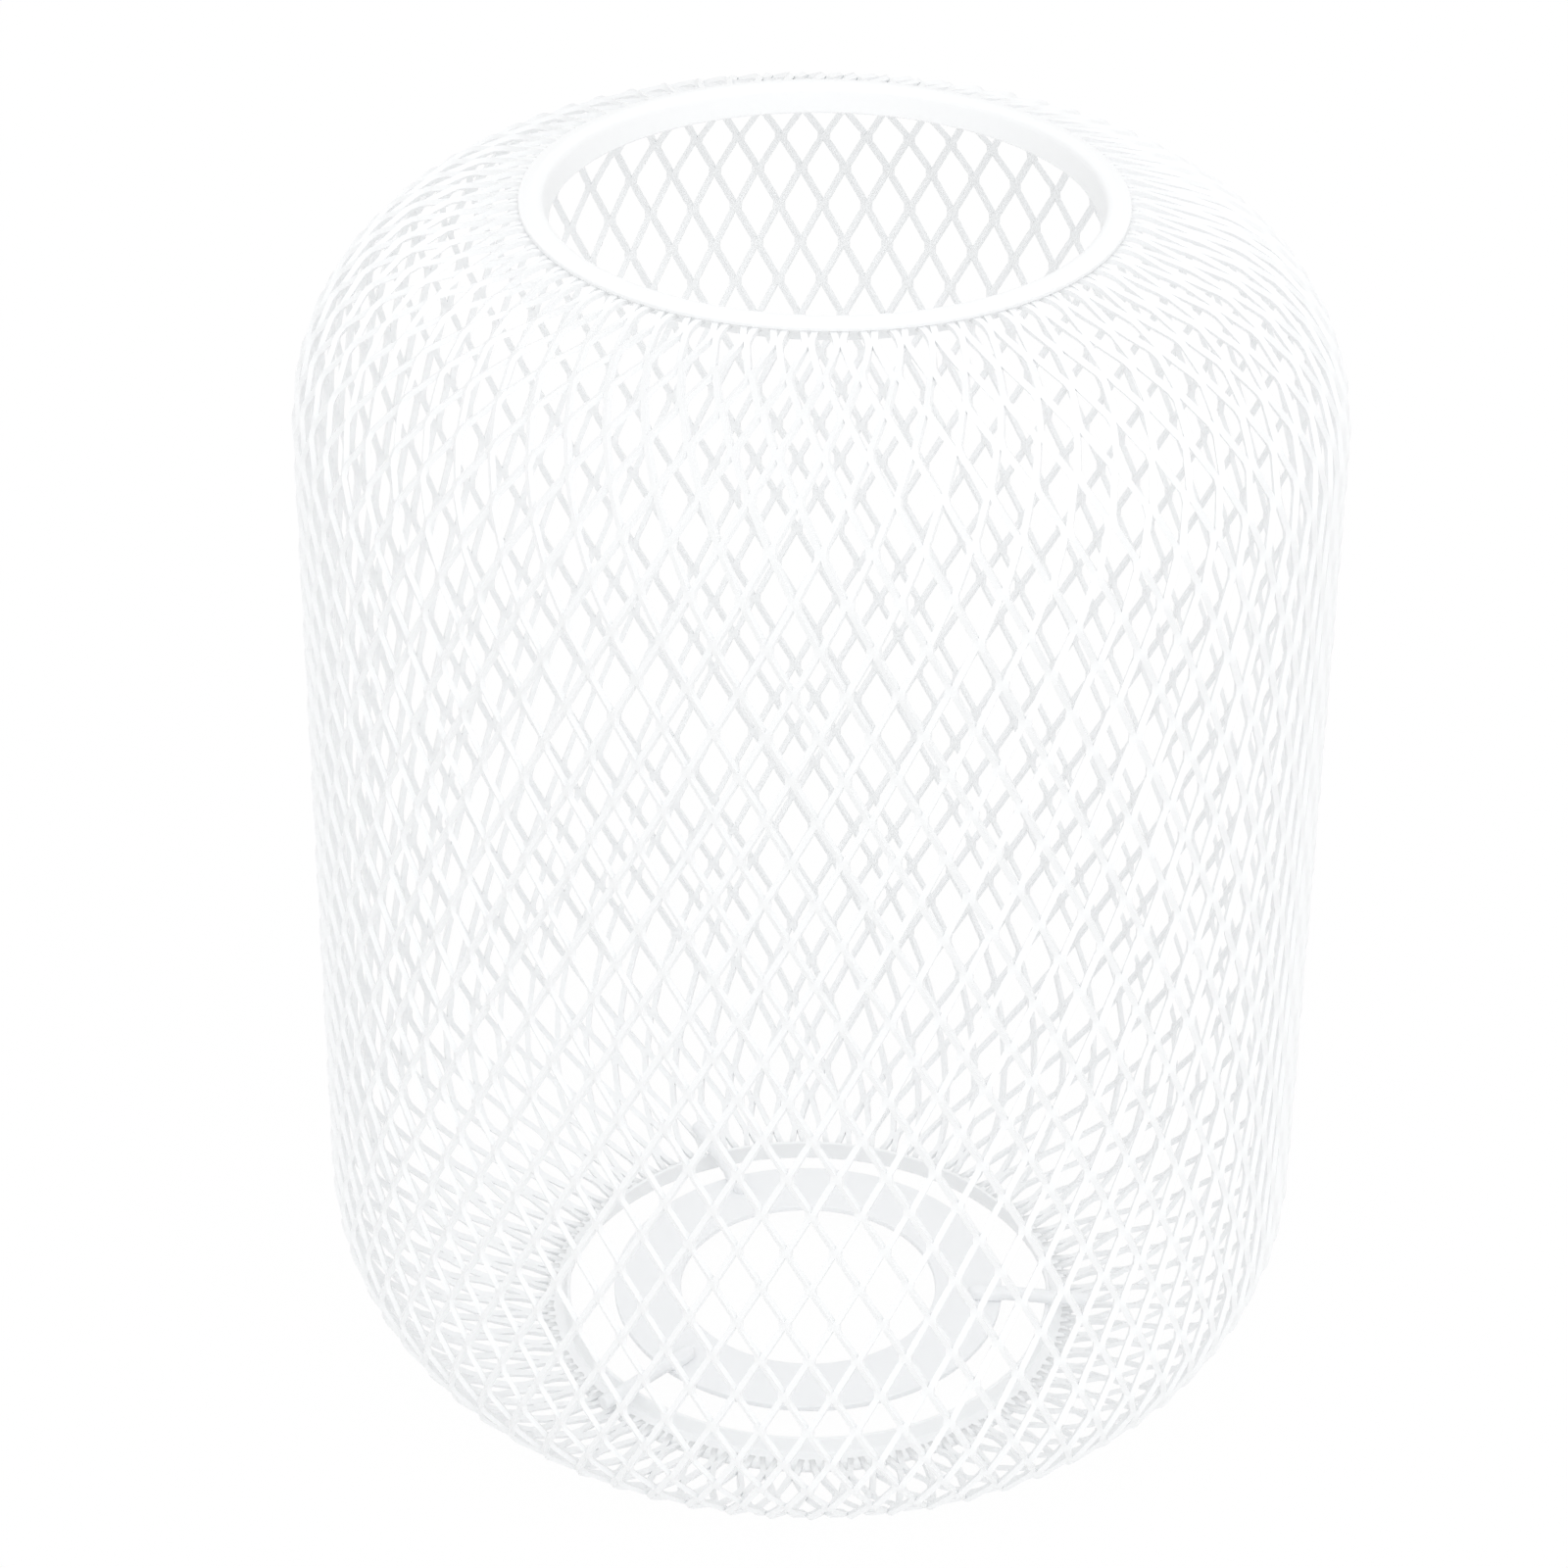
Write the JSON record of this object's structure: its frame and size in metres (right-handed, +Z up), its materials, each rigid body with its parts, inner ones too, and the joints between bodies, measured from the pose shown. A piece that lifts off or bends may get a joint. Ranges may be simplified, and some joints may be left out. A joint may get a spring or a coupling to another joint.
{
  "type": "expanded-metal lampshade",
  "caption": "Barrel-shaped lampshade of white diamond mesh with a rolled rim at each open end and a flat fitter ring on rods that holds it on a lampholder.",
  "frame": {"origin": "centre of the bottom rim's crown, the plane that the shade stands on", "axes": "+Z up along the shade's axis from the fitter end to the open end, +X to the right and -Y towards the viewer of the picture"},
  "size_m": [0.154, 0.1546, 0.199],
  "materials": {
    "mesh_paint": "satin white powder coat over expanded steel",
    "rim_paint": "satin white powder coat over spun sheet steel",
    "fitter_paint": "satin white powder coat over stamped sheet and drawn rod"
  },
  "bodies": {
    "root": {"mesh_body": "mesh_paint", "top_rim": "rim_paint", "bottom_rim": "rim_paint", "fitter_ring": "fitter_paint", "spoke_1": "fitter_paint", "spoke_2": "fitter_paint", "spoke_3": "fitter_paint"}
  },
  "joints": []
}
